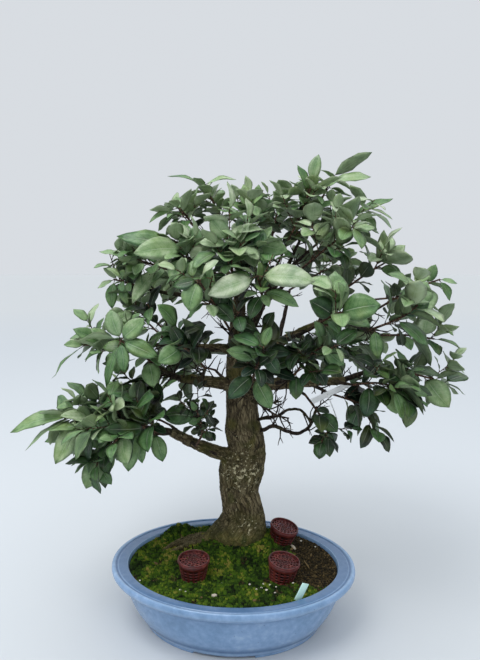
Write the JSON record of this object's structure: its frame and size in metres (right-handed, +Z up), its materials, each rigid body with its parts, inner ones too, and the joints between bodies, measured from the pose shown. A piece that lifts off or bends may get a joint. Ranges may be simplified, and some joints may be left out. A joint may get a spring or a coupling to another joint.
{
  "type": "thorny olive bonsai",
  "caption": "Thorny olive bonsai in a shallow oval glazed pot: stout trunk, spreading limbs, leafy sprays, mossy soil, fertiliser baskets, bare plant label and white strap.",
  "frame": {"origin": "middle of the bottom of the whole plant, on the surface that the pot's feet stand on", "axes": "+Z up, X along the pot's long side, -Y towards the front"},
  "size_m": [0.6666, 0.4312, 0.6822],
  "materials": {
    "pot_glaze": "light blue glaze, mottled, glossy",
    "soil": "granular soil under bright moss",
    "bark": "fissured grey brown bark with moss patches",
    "foliage": "leathery sage green leaves with silvery scales",
    "basket_plastic": "dark red brown moulded plastic",
    "fertiliser": "dry crumbly cakes",
    "label_plastic": "pale mint plastic sheet",
    "strap_plastic": "white plastic strip"
  },
  "bodies": {
    "root": {"basket_left_cup": "basket_plastic", "basket_left_fill": "fertiliser", "basket_left_lid": "basket_plastic", "basket_rear_cup": "basket_plastic", "basket_rear_fill": "fertiliser", "basket_rear_lid": "basket_plastic", "basket_right_cup": "basket_plastic", "basket_right_fill": "fertiliser", "basket_right_lid": "basket_plastic", "plant_label": "label_plastic", "pot": "pot_glaze", "soil": "soil", "spray_back_centre": "foliage", "spray_back_left": "foliage", "spray_back_low_left": "foliage", "spray_back_low_right": "foliage", "spray_back_right": "foliage", "spray_back_top": "foliage", "spray_centre_front": "foliage", "spray_centre_left_front": "foliage", "spray_centre_low_front": "foliage", "spray_crown_mid": "foliage", "spray_left_back": "foliage", "spray_left_low_back": "foliage", "spray_left_low_inner": "foliage", "spray_left_low_mid": "foliage", "spray_left_low_tip": "foliage", "spray_left_low_under": "foliage", "spray_left_mid_back": "foliage", "spray_left_mid_front": "foliage", "spray_left_mid_inner": "foliage", "spray_left_mid_tip": "foliage", "spray_left_mid_under": "foliage", "spray_left_upper": "foliage", "spray_right_far_back": "foliage", "spray_right_front": "foliage", "spray_right_hang": "foliage", "spray_right_inner": "foliage", "spray_right_low": "foliage", "spray_right_low_tip": "foliage", "spray_right_mid_front": "foliage", "spray_right_mid_tip": "foliage", "spray_right_top_mid": "foliage", "spray_right_under": "foliage", "spray_right_upper": "foliage", "spray_right_upper_tip": "foliage", "spray_top_centre": "foliage", "spray_top_centre_front": "foliage", "spray_top_left": "foliage", "spray_top_right_far": "foliage", "spray_top_right_low": "foliage", "spray_top_right_up": "foliage", "spray_upper_left_mid": "foliage", "spray_upper_left_tip": "foliage", "spray_upper_left_top": "foliage", "trunk": "bark", "white_strap": "strap_plastic"}
  },
  "joints": []
}
